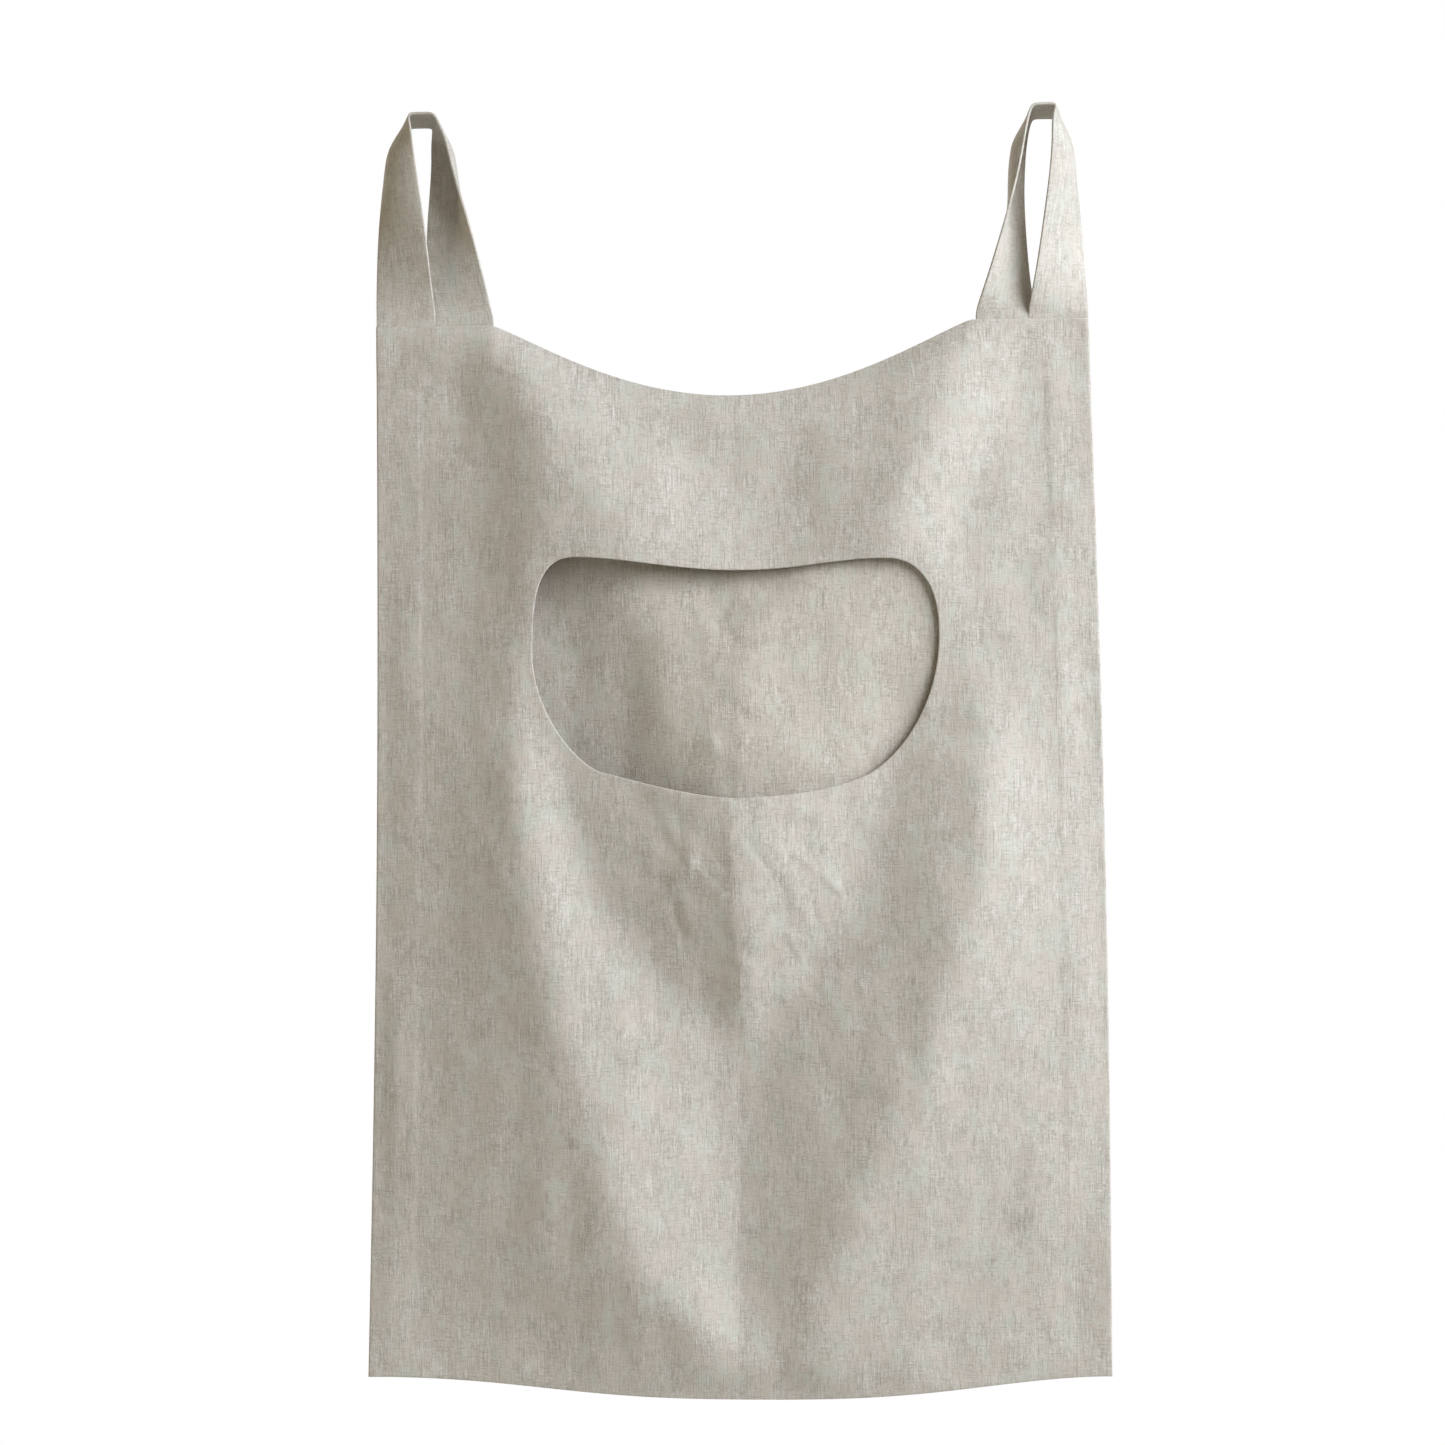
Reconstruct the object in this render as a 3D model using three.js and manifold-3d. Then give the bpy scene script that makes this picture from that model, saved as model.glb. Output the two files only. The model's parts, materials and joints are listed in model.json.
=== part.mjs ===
// A hanging linen laundry bag: two panels closed all round, a letterbox mouth in the front panel,
// and a strap loop at each top corner. Millimetres, +Z up, the front faces -Y, +X to the right.
// The origin is midway between the undersides of the two loop tops, where the hooks bear.
import * as THREE from "three";
import { mergeVertices } from "three/addons/utils/BufferGeometryUtils.js";
import Module from "manifold-3d";

// Driving dimensions
const HOOK_SPACING = 420; // between the two hook seats
const SEAT_FLAT = 15; // length of strap that lies flat on a hook
const STRAP_WIDTH = 39;
const STRAP_THICK = 1.6; // cloth folded into four
const TAIL_LENGTH = 28; // strap sewn in between the panels
const TOP_Z = -140; // the bag's top corners
const BOTTOM_Z = -852; // the bag's bottom corners
const TOP_HALF_WIDTH = 240.5;
const BOTTOM_HALF_WIDTH = 251.5;
const TOP_SAG = 49; // how far the top edge dips between the loops
const TOP_SAG_HALF_SPAN = 160; // where the dip starts, at the inner ends of the loops
const TOP_SAG_POWER = 1.2;
const BOTTOM_SAG = 15.5;
const BULGE = 24; // how far the front panel stands out at its middle
const CLOTH = 0.5; // thickness of one layer
const GAP = 0.3; // between neighbouring layers
const ALLOWANCE = 30; // width of the turned-in seam allowances
const EDGE_INSET = 1; // the turned-in layers end just inside the bag's edge
const FACING_WIDTH = 40; // facing behind the mouth
const THREAD_RADIUS = 0.45;
const SEAM_INSET = 3; // from an edge to its row of stitches
const SEAM_START = 0.05; // the side seams start below the strap tails' corners,
const SEAM_END = 0.99; // and end at the bottom seam, as shares of the bag's height
const HINGE_RISE = 4; // the loops fold about a line this far above the top corners
const HINGE_CLEARANCE = 0.5; // bottom end of the strap above that line
const TAIL_CLEARANCE = 2.2; // top end of the tails below it, so that a loop can fold down
const SEAT_CLEAR = 3; // the legs of a loop run straight down for this far below the hook

// Mouth outline: its middle, half width, the heights that shape it and its small top corners
const MOUTH = { x: 1.5, half: 136, top: -309, topCorner: -299, bottom: -460, cornerTop: 36 };
const MOUTH_LIP = [0.4, 0.55]; // where the top edge leaves its dip and levels out, as shares of half
const MOUTH_LOWER_CORNER = [[1, 70], [0.86, 24], [0.62, 13]]; // share of half, height above the bottom
const MOUTH_BELLY = 0.35; // share of half over which the bottom edge levels out

// Legs of a loop: how far each spreads below the hook, how it drifts towards the bag's middle on
// its way down, and how its quarter turn is shared between a quick start and the rest
const OUTER_LEG = { side: -1, spread: 4.5, drift: -2, driftPower: 2, quickTurn: 18, turnPower: 1 };
const INNER_LEG = { side: 1, spread: 5, drift: 17.5, driftPower: 1.3, quickTurn: 12, turnPower: 1.2 };
const SPREAD_RATE = 0.04; // shares of the leg's length over which the spread
const QUICK_TURN_RATE = 0.05; // and the quick turn settle

// Fineness of the meshes
const PANEL_STEPS = 24;
const SIDE_STEPS = 20;
const STRIP_STEPS = 2; // across an allowance
const LEG_STEPS = 12;
const LEG_CROWDING = 1.6; // above 1, a leg's steps are closer together near the hook
const MOUTH_CURVE_STEPS = 6;
const MOUTH_THREAD_POINTS = 48;
const THREAD_CURVE_STEPS = 3;
const THREAD_STEPS_PER_POINT = 1.5;
const MERGE = 1e-4; // points closer than this are one

const LINEN = { color: 0xc6c1b8, roughness: 0.92, metalness: 0 };
const LINEN_INSIDE = { color: 0xb8b1a4, roughness: 0.94, metalness: 0 };
const STRAP_LINEN = { color: 0xbcb6ab, roughness: 0.9, metalness: 0 };
const THREAD = { color: 0xbdb6a8, roughness: 0.8, metalness: 0 };

const wasm = await Module();
wasm.setup();
const bag = new THREE.Group();

const halfWidth = (v) => TOP_HALF_WIDTH + (BOTTOM_HALF_WIDTH - TOP_HALF_WIDTH) * v;

function topEdge(x) {
  const inside = Math.max(0, 1 - (x / TOP_SAG_HALF_SPAN) ** 2);
  return TOP_Z - TOP_SAG * inside ** TOP_SAG_POWER;
}

function bottomEdge(x) {
  const inside = Math.max(0, 1 - (x / BOTTOM_HALF_WIDTH) ** 2);
  return BOTTOM_Z - BOTTOM_SAG * inside;
}

// The bag's outline as a map from (-1..1, 0..1) to x and z.
function onPanel(s, v) {
  const x = s * halfWidth(v);
  return [x, THREE.MathUtils.lerp(topEdge(x), bottomEdge(x), v)];
}

// How far the front panel stands out at a point.
function bulge(x, z) {
  const v = THREE.MathUtils.clamp((topEdge(x) - z) / (topEdge(x) - bottomEdge(x)), 0, 1);
  const across = Math.max(0, 1 - (x / halfWidth(v)) ** 2);
  return BULGE * across * Math.sin(Math.PI * v);
}

// The layers, counted out from the middle plane: tails, allowances and facing, panels.
const allowanceLayer = [STRAP_THICK / 2 + GAP, STRAP_THICK / 2 + GAP + CLOTH];
const panelLayer = [allowanceLayer[1] + GAP, allowanceLayer[1] + GAP + CLOTH];
const frontY = (depth, x, z) => -depth - bulge(x, z);
const backY = (depth) => depth;

function addMesh(name, geometry, look) {
  geometry.computeVertexNormals();
  const mesh = new THREE.Mesh(geometry, new THREE.MeshStandardMaterial(look));
  mesh.name = name;
  bag.add(mesh);
}

function asGeometry(positions, triangles) {
  const geometry = new THREE.BufferGeometry();
  geometry.setAttribute("position", new THREE.Float32BufferAttribute(positions, 3));
  geometry.setIndex(triangles);
  return geometry;
}

function signedVolume(positions, triangles) {
  const corner = (i) => new THREE.Vector3().fromArray(positions, 3 * i);
  let sum = 0;
  for (let k = 0; k < triangles.length; k += 3) {
    const [a, b, c] = [0, 1, 2].map((j) => corner(triangles[k + j]));
    sum += a.dot(b.cross(c));
  }
  return sum;
}

// A closed solid from rings of points, each joined to the next, with a fan across each end.
function loft(rings) {
  const count = rings[0].length;
  const positions = rings.flat(2);
  const triangles = [];
  for (let r = 0; r + 1 < rings.length; r++) {
    for (let k = 0; k < count; k++) {
      const [a, b] = [r * count + k, r * count + ((k + 1) % count)];
      triangles.push(a, b, b + count, a, b + count, a + count);
    }
  }
  const last = (rings.length - 1) * count;
  for (let k = 1; k + 1 < count; k++) {
    triangles.push(0, k + 1, k, last, last + k, last + k + 1);
  }
  if (signedVolume(positions, triangles) < 0) triangles.reverse();
  return asGeometry(positions, triangles);
}

// A layer of cloth over a patch of the bag: place(s, t) gives x and z, y(depth, x, z) its faces.
function clothLayer(place, y, [inner, outer], across, down) {
  const positions = [];
  const perFace = (across + 1) * (down + 1);
  for (const depth of [inner, outer]) {
    for (let j = 0; j <= down; j++) {
      for (let i = 0; i <= across; i++) {
        const [x, z] = place(i / across, j / down);
        positions.push(x, y(depth, x, z), z);
      }
    }
  }
  const at = (i, j) => j * (across + 1) + i;
  const triangles = [];
  for (let j = 0; j < down; j++) {
    for (let i = 0; i < across; i++) {
      const [a, b, c, d] = [at(i, j), at(i + 1, j), at(i + 1, j + 1), at(i, j + 1)];
      triangles.push(a, b, c, a, c, d);
      triangles.push(a + perFace, c + perFace, b + perFace, a + perFace, d + perFace, c + perFace);
    }
  }
  const rim = [];
  for (let i = 0; i < across; i++) rim.push(at(i, 0));
  for (let j = 0; j < down; j++) rim.push(at(across, j));
  for (let i = across; i > 0; i--) rim.push(at(i, down));
  for (let j = down; j > 0; j--) rim.push(at(0, j));
  rim.forEach((a, k) => {
    const b = rim[(k + 1) % rim.length];
    triangles.push(b, a, a + perFace, b, a + perFace, b + perFace);
  });
  if (signedVolume(positions, triangles) < 0) triangles.reverse();
  return asGeometry(positions, triangles);
}

// The mouth: a level slot with a sagging top edge, small top corners and large bottom ones.
function mouthOutline(grow) {
  const { x, half, top, topCorner, bottom, cornerTop } = MOUTH;
  const [w, up, low, dip] = [half + grow, topCorner + grow, bottom - grow, top + grow];
  const corner = (k, side) => [
    x + side * MOUTH_LOWER_CORNER[k][0] * w,
    low + MOUTH_LOWER_CORNER[k][1],
  ];
  const lip = (k, side) => x + side * MOUTH_LIP[k] * w;
  const belly = (side) => x + side * MOUTH_BELLY * w;
  const shape = new THREE.Shape();
  shape.moveTo(x, dip);
  shape.bezierCurveTo(lip(0, 1), dip, lip(1, 1), up, x + w - cornerTop, up);
  shape.quadraticCurveTo(x + w, up, x + w, up - cornerTop);
  shape.bezierCurveTo(...corner(0, 1), ...corner(1, 1), ...corner(2, 1));
  shape.quadraticCurveTo(belly(1), low, x, low);
  shape.quadraticCurveTo(belly(-1), low, ...corner(2, -1));
  shape.bezierCurveTo(...corner(1, -1), ...corner(0, -1), x - w, up - cornerTop);
  shape.quadraticCurveTo(x - w, up, x - w + cornerTop, up);
  shape.bezierCurveTo(lip(1, -1), up, lip(0, -1), dip, x, dip);
  return shape;
}

// A prism of an upright outline, long enough in Y to pass through the whole bag.
function prism(shape) {
  const reach = 4 * BULGE;
  const geometry = new THREE.ExtrudeGeometry(shape, {
    depth: 2 * reach,
    bevelEnabled: false,
    curveSegments: MOUTH_CURVE_STEPS,
  });
  return geometry.translate(0, 0, -reach).rotateX(Math.PI / 2);
}

function toManifold(geometry) {
  const bare = geometry.clone();
  bare.deleteAttribute("normal");
  bare.deleteAttribute("uv");
  const merged = mergeVertices(bare, MERGE);
  return new wasm.Manifold(new wasm.Mesh({
    numProp: 3,
    vertProperties: Float32Array.from(merged.attributes.position.array),
    triVerts: Uint32Array.from(merged.index.array),
  }));
}

function fromManifold(solid) {
  const mesh = solid.getMesh();
  return asGeometry(Array.from(mesh.vertProperties), Array.from(mesh.triVerts));
}

// A thread on a smooth curve through points.
function threadThrough(points) {
  const through = points.map(([x, y, z]) => new THREE.Vector3(x, y, z));
  const section = new THREE.Shape().absarc(0, 0, THREAD_RADIUS, 0, 2 * Math.PI);
  const geometry = new THREE.ExtrudeGeometry(section, {
    steps: Math.ceil(THREAD_STEPS_PER_POINT * points.length),
    curveSegments: THREAD_CURVE_STEPS,
    extrudePath: new THREE.CatmullRomCurve3(through),
  });
  geometry.deleteAttribute("normal");
  geometry.deleteAttribute("uv");
  return mergeVertices(geometry, MERGE);
}

// Panels
const wholePanel = (s, t) => onPanel(2 * s - 1, t);
const frontSheet = clothLayer(wholePanel, frontY, panelLayer, PANEL_STEPS, PANEL_STEPS);
const mouthPrism = toManifold(prism(mouthOutline(0)));
addMesh("front_panel", fromManifold(toManifold(frontSheet).subtract(mouthPrism)), LINEN);
addMesh("back_panel", clothLayer(wholePanel, backY, panelLayer, PANEL_STEPS, 1), LINEN_INSIDE);

// Facing behind the mouth
const facingRing = toManifold(prism(mouthOutline(FACING_WIDTH))).subtract(mouthPrism);
const facingSheet = clothLayer(wholePanel, frontY, allowanceLayer, PANEL_STEPS, PANEL_STEPS);
addMesh("mouth_facing", fromManifold(toManifold(facingSheet).intersect(facingRing)), LINEN_INSIDE);

// Turned-in allowances along the four edges of each panel
function alongTop(s, t) {
  const x = (2 * s - 1) * (TOP_HALF_WIDTH - EDGE_INSET);
  return [x, topEdge(x) - EDGE_INSET - ALLOWANCE * t];
}

function alongBottom(s, t) {
  const x = (2 * s - 1) * (BOTTOM_HALF_WIDTH - 2 * EDGE_INSET);
  return [x, bottomEdge(x) + EDGE_INSET + ALLOWANCE * (1 - t)];
}

function alongSide(side) {
  const margin = (ALLOWANCE + 3 * EDGE_INSET) / (TOP_Z - BOTTOM_Z);
  return (s, t) => {
    const v = THREE.MathUtils.lerp(margin, 1 - margin, t);
    const x = side * (halfWidth(v) - EDGE_INSET - ALLOWANCE * s);
    return [x, THREE.MathUtils.lerp(TOP_Z, BOTTOM_Z, v)];
  };
}

const edges = {
  top: [alongTop, PANEL_STEPS, STRIP_STEPS],
  bottom: [alongBottom, PANEL_STEPS, STRIP_STEPS],
  left: [alongSide(-1), STRIP_STEPS, SIDE_STEPS],
  right: [alongSide(1), STRIP_STEPS, SIDE_STEPS],
};
for (const [edge, [place, across, down]] of Object.entries(edges)) {
  const front = clothLayer(place, frontY, allowanceLayer, across, down);
  const back = clothLayer(place, backY, allowanceLayer, across, down);
  addMesh(`front_${edge}_allowance`, front, LINEN_INSIDE);
  addMesh(`back_${edge}_allowance`, back, LINEN_INSIDE);
}

// Strap loops. A leg's height runs from 0 at the hook to 1 at its base; the strap lies across
// the hook and turns a quarter turn on its way down to lie in the plane of the bag.
const settle = (t, rate) => 1 - Math.exp(-t / rate);
const hingeZ = TOP_Z + HINGE_RISE;
const legTop = STRAP_THICK / 2;
const legLength = legTop - (hingeZ + HINGE_CLEARANCE);
const straightPart = SEAT_CLEAR / legLength;
const span = (steps) => [...Array(steps + 1).keys()].map((k) => k / steps);

// How far the middle of a leg is from the hook, towards the bag's middle.
function inward(leg, t) {
  const out = SEAT_FLAT / 2 + leg.spread * settle(t, SPREAD_RATE) + leg.drift * t ** leg.driftPower;
  return leg.side * out;
}

// How far a leg's width has turned from front-to-back, in degrees.
function turn(leg, t) {
  const turning = Math.max(0, t - straightPart) / (1 - straightPart);
  const slow = (90 - leg.quickTurn) * turning ** leg.turnPower;
  return leg.quickTurn * settle(turning, QUICK_TURN_RATE) + slow;
}

// Centre points and width directions along a loop, from its outer base over the hook to its inner.
function loopStations() {
  const station = (leg, t) => {
    const angle = THREE.MathUtils.degToRad(turn(leg, t));
    return {
      centre: new THREE.Vector3(inward(leg, t), 0, legTop - legLength * t),
      width: new THREE.Vector3(Math.sin(angle), -Math.cos(angle), 0),
    };
  };
  const heights = span(LEG_STEPS).map((t) => t ** LEG_CROWDING);
  const outer = [...heights].reverse().map((t) => station(OUTER_LEG, t));
  return [...outer, ...heights.map((t) => station(INNER_LEG, t))];
}

function strapLoop(side) {
  const stations = loopStations();
  const rings = stations.map(({ centre, width }, k) => {
    const before = stations[Math.max(k - 1, 0)].centre;
    const after = stations[Math.min(k + 1, stations.length - 1)].centre;
    const along = after.clone().sub(before).normalize();
    const isSeat = Math.abs(centre.z - legTop) < MERGE;
    const out = isSeat ? new THREE.Vector3(0, 0, 1) : width.clone().cross(along).normalize();
    const isBase = k === 0 || k === stations.length - 1;
    if (isBase) out.setZ(0).normalize();
    return [[1, 1], [1, -1], [-1, -1], [-1, 1]].map(([across, through]) => {
      const p = centre.clone().addScaledVector(width, (across * STRAP_WIDTH) / 2);
      p.addScaledVector(out, (through * STRAP_THICK) / 2);
      return [side * (HOOK_SPACING / 2 - p.x), p.y, p.z];
    });
  });
  return loft(rings);
}

function strapTail(side, leg) {
  const middle = side * (HOOK_SPACING / 2 - inward(leg, 1));
  const top = hingeZ - TAIL_CLEARANCE;
  const tail = new THREE.BoxGeometry(STRAP_WIDTH, STRAP_THICK, TAIL_LENGTH);
  tail.deleteAttribute("normal");
  tail.deleteAttribute("uv");
  return mergeVertices(tail.translate(middle, 0, top - TAIL_LENGTH / 2), MERGE);
}

for (const [name, side] of [["left", -1], ["right", 1]]) {
  addMesh(`${name}_strap`, strapLoop(side), STRAP_LINEN);
  addMesh(`${name}_outer_strap_tail`, strapTail(side, OUTER_LEG), STRAP_LINEN);
  addMesh(`${name}_inner_strap_tail`, strapTail(side, INNER_LEG), STRAP_LINEN);
}

// Seam threads, hidden between the allowances just inside the bag's edge, and round the mouth
for (const [name, side] of [["left", -1], ["right", 1]]) {
  const down = span(8).map((t) => {
    const v = THREE.MathUtils.lerp(SEAM_START, SEAM_END, t);
    return [side * (halfWidth(v) - SEAM_INSET), 0, THREE.MathUtils.lerp(TOP_Z, BOTTOM_Z, v)];
  });
  addMesh(`${name}_seam_thread`, threadThrough(down), THREAD);
}

function levelSeam(halfRun, steps, heightAt) {
  const across = span(steps).map((t) => (2 * t - 1) * halfRun);
  return threadThrough(across.map((x) => [x, 0, heightAt(x)]));
}

const topRun = HOOK_SPACING / 2 - inward(INNER_LEG, 1) - STRAP_WIDTH / 2 - SEAM_INSET;
const bottomRun = BOTTOM_HALF_WIDTH - 4 * SEAM_INSET;
addMesh("top_seam_thread", levelSeam(topRun, 16, (x) => topEdge(x) - SEAM_INSET), THREAD);
addMesh("bottom_seam_thread", levelSeam(bottomRun, 12, (x) => bottomEdge(x) + SEAM_INSET), THREAD);

// The understitching that holds the facing, behind it, all round the mouth
const threadDepth = allowanceLayer[0] - GAP - THREAD_RADIUS;
const round = mouthOutline(SEAM_INSET).getSpacedPoints(MOUTH_THREAD_POINTS).slice(0, -1);
const behindFacing = round.map((p) => [p.x, frontY(threadDepth, p.x, p.y), p.y]);
addMesh("mouth_thread", threadThrough(behindFacing), THREAD);

export default bag;
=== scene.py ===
"""A hanging linen laundry bag: cloth panels, seams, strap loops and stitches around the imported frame."""

import json
import math

import bpy
import numpy as np
from mathutils import Matrix, Vector


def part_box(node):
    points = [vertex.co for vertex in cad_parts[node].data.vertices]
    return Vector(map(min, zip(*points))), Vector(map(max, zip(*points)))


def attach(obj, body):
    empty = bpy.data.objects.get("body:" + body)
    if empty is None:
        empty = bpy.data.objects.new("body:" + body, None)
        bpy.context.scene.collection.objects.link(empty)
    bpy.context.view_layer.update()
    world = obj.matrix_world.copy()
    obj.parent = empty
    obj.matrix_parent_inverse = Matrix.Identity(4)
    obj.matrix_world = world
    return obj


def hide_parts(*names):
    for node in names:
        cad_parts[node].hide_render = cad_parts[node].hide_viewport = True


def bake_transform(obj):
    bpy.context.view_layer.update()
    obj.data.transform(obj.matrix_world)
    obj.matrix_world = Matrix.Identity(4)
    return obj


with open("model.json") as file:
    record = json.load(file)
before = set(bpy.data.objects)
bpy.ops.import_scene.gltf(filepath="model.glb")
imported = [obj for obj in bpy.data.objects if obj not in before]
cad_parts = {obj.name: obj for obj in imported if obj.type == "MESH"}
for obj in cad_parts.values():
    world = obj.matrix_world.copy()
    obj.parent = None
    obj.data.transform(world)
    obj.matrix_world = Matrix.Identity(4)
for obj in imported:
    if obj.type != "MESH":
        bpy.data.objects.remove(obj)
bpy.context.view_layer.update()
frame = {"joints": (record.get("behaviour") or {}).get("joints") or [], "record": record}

MM = 0.001
SEED = 41

# ---------------------------------------------------------------- sizes, in millimetres
panel_low, panel_high = (np.array(c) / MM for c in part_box("front_panel"))
seats = {m["name"]: np.array(m["pos_m"]) / MM for m in frame["record"]["mounts"]}
hinges = {j["child"]: np.array(j["pos_m"]) for j in frame["joints"]}

HOOK_X = seats["right_loop_seat"][0]
TOP_Z = panel_high[2]
BOTTOM_SAG = 15.5
BOTTOM_Z = panel_low[2] + BOTTOM_SAG
BOTTOM_HALF = panel_high[0]
BOTTOM_LOWEST_X = 32
TOP_HALF = BOTTOM_HALF - 11
TOP_SAG = 49
TOP_SAG_HALF_SPAN = 162
SWAY = 3.0
CLOTH = 0.5
LAYER = 1.45  # the panels' outer faces, in front of and behind the seam plane
EDGE_ROUND = 1.3
LIP = 0.75  # the radius of the mouth's turned edge
HEM = 30
HEM_GAP = 0.4  # between a panel and the margin turned in behind it
HEM_INSET = 2.6
SEAM_INSET = 2.2
FACING = 40
FACING_DEPTH = 1.55  # from the front's outer face to the facing's
STRAP_HALF = 19.4
STRAP_THICK = 1.8
STRAP_BASES = (158, 240)  # each strap's sewn-in width, from the bag's middle
TAIL = 27
SEAM_OPENING = 0.85  # how far each panel is lifted by the strap tails
LOOP_LEAN = 1.2  # both loops lean this far to the right at the top
MOUTH_X, MOUTH_HALF = 2, 136
MOUTH_TOP, MOUTH_TOP_CORNER, MOUTH_BOTTOM = -308, -299, -460


def smoothstep(low, high, value):
    t = np.clip((value - low) / (high - low), 0, 1)
    return t * t * (3 - 2 * t)


# ---------------------------------------------------------------- the bag's outline
def sway(v):
    """The hung bag bows a little to the right between its corners."""
    return SWAY * np.sin(np.pi * np.clip(v, 0, 1))


def half_width(v):
    return TOP_HALF + (BOTTOM_HALF - TOP_HALF) * v


def top_edge(x):
    inside = np.clip(1 - (x / TOP_SAG_HALF_SPAN) ** 2, 0, 1)
    return TOP_Z - TOP_SAG * inside**1.2


def bottom_edge(x):
    """Lowest a little right of the middle."""
    low = BOTTOM_LOWEST_X
    reach = np.where(x < low, BOTTOM_HALF + low, BOTTOM_HALF - low)
    inside = np.clip(1 - np.abs(x - low) / reach, 0, 1)
    return BOTTOM_Z - BOTTOM_SAG * np.sin(inside * np.pi / 2) ** 1.6


def down(x, z):
    return np.clip((top_edge(x) - z) / (top_edge(x) - bottom_edge(x)), 0, 1)


def edge_distances(x, z):
    v = down(x, z)
    side = half_width(v) - np.abs(x - sway(v))
    return side, top_edge(x) - z, z - bottom_edge(x)


def on_panel(s, v):
    """s from -1 to 1 across, v from 0 to 1 down."""
    x = s * half_width(v) + sway(v)
    top, bottom = top_edge(x), bottom_edge(x)
    return x, top + (bottom - top) * v


# ---------------------------------------------------------------- height fields on a regular grid
STEP = 2.5
GRID_X = np.arange(-275, 275 + STEP, STEP)
GRID_Z = np.arange(-900, -100 + STEP, STEP)
GX, GZ = np.meshgrid(GRID_X, GRID_Z, indexing="ij")
BLURS_PER_WAVE = 2.5


def blur(field, across, along):
    """Gaussian blur, in millimetres each way."""
    for axis, width in ((0, across), (1, along)):
        if width <= 0:
            continue
        reach = int(3 * width / STEP) + 1
        taps = np.exp(-0.5 * (np.arange(-reach, reach + 1) * STEP / width) ** 2)
        taps /= taps.sum()
        padding = [(reach, reach) if a == axis else (0, 0) for a in (0, 1)]
        padded = np.pad(field, padding, mode="edge")
        field = np.apply_along_axis(np.convolve, axis, padded, taps, mode="valid")
    return field


def ripples(seed, across, along):
    """Smooth noise of unit size, with waves of about those widths."""
    white = np.random.default_rng(seed).standard_normal(GX.shape)
    smooth = blur(white, across / BLURS_PER_WAVE, along / BLURS_PER_WAVE)
    return smooth / smooth.std()


def folds(levels, fullness, across, along):
    """A field from fold lines: each level is (z, [(x, height), ...]); fullness scales the heights."""
    levels = sorted(levels, key=lambda level: level[0])
    zs = np.array([level[0] for level in levels], float)
    knots = np.array([level[1] for level in levels], float)
    field = np.empty_like(GX)
    for j, z in enumerate(GRID_Z):
        xs = [np.interp(z, zs, knots[:, k, 0]) for k in range(knots.shape[1])]
        hs = [fullness * np.interp(z, zs, knots[:, k, 1]) for k in range(knots.shape[1])]
        field[:, j] = np.interp(GRID_X, xs, hs)
    return blur(field, across, along)


def crease(x0, z0, x1, z1, height, width):
    """A pressed crease between two points, fading out at its ends."""
    dx, dz = x1 - x0, z1 - z0
    length = math.hypot(dx, dz)
    t = ((GX - x0) * dx + (GZ - z0) * dz) / length**2
    off = np.abs((GX - x0) * dz - (GZ - z0) * dx) / length
    ends = smoothstep(-0.02, 0.12, t) * smoothstep(-0.02, 0.12, 1 - t)
    return height * ends * np.exp(-((off / width) ** 1.3))


def sample(field, x, z):
    """The field at any points, by cubic interpolation."""
    u = (np.asarray(x) - GRID_X[0]) / STEP
    w = (np.asarray(z) - GRID_Z[0]) / STEP
    i = np.clip(np.floor(u).astype(int), 1, len(GRID_X) - 3)
    j = np.clip(np.floor(w).astype(int), 1, len(GRID_Z) - 3)

    def taps(t):
        return (
            0.5 * (-t + 2 * t**2 - t**3),
            0.5 * (2 - 5 * t**2 + 3 * t**3),
            0.5 * (t + 4 * t**2 - 3 * t**3),
            0.5 * (-(t**2) + t**3),
        )

    a, b = taps(u - i), taps(w - j)
    return sum(a[p] * b[q] * field[i + p - 1, j + q - 1] for p in range(4) for q in range(4))


SIDE, TOP, BOTTOM = edge_distances(GX, GZ)
NEAREST = np.minimum(np.minimum(SIDE, TOP), BOTTOM)
PINCH = 1 - np.exp(-((np.clip(NEAREST, 0, None) / 9) ** 1.4))

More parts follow.
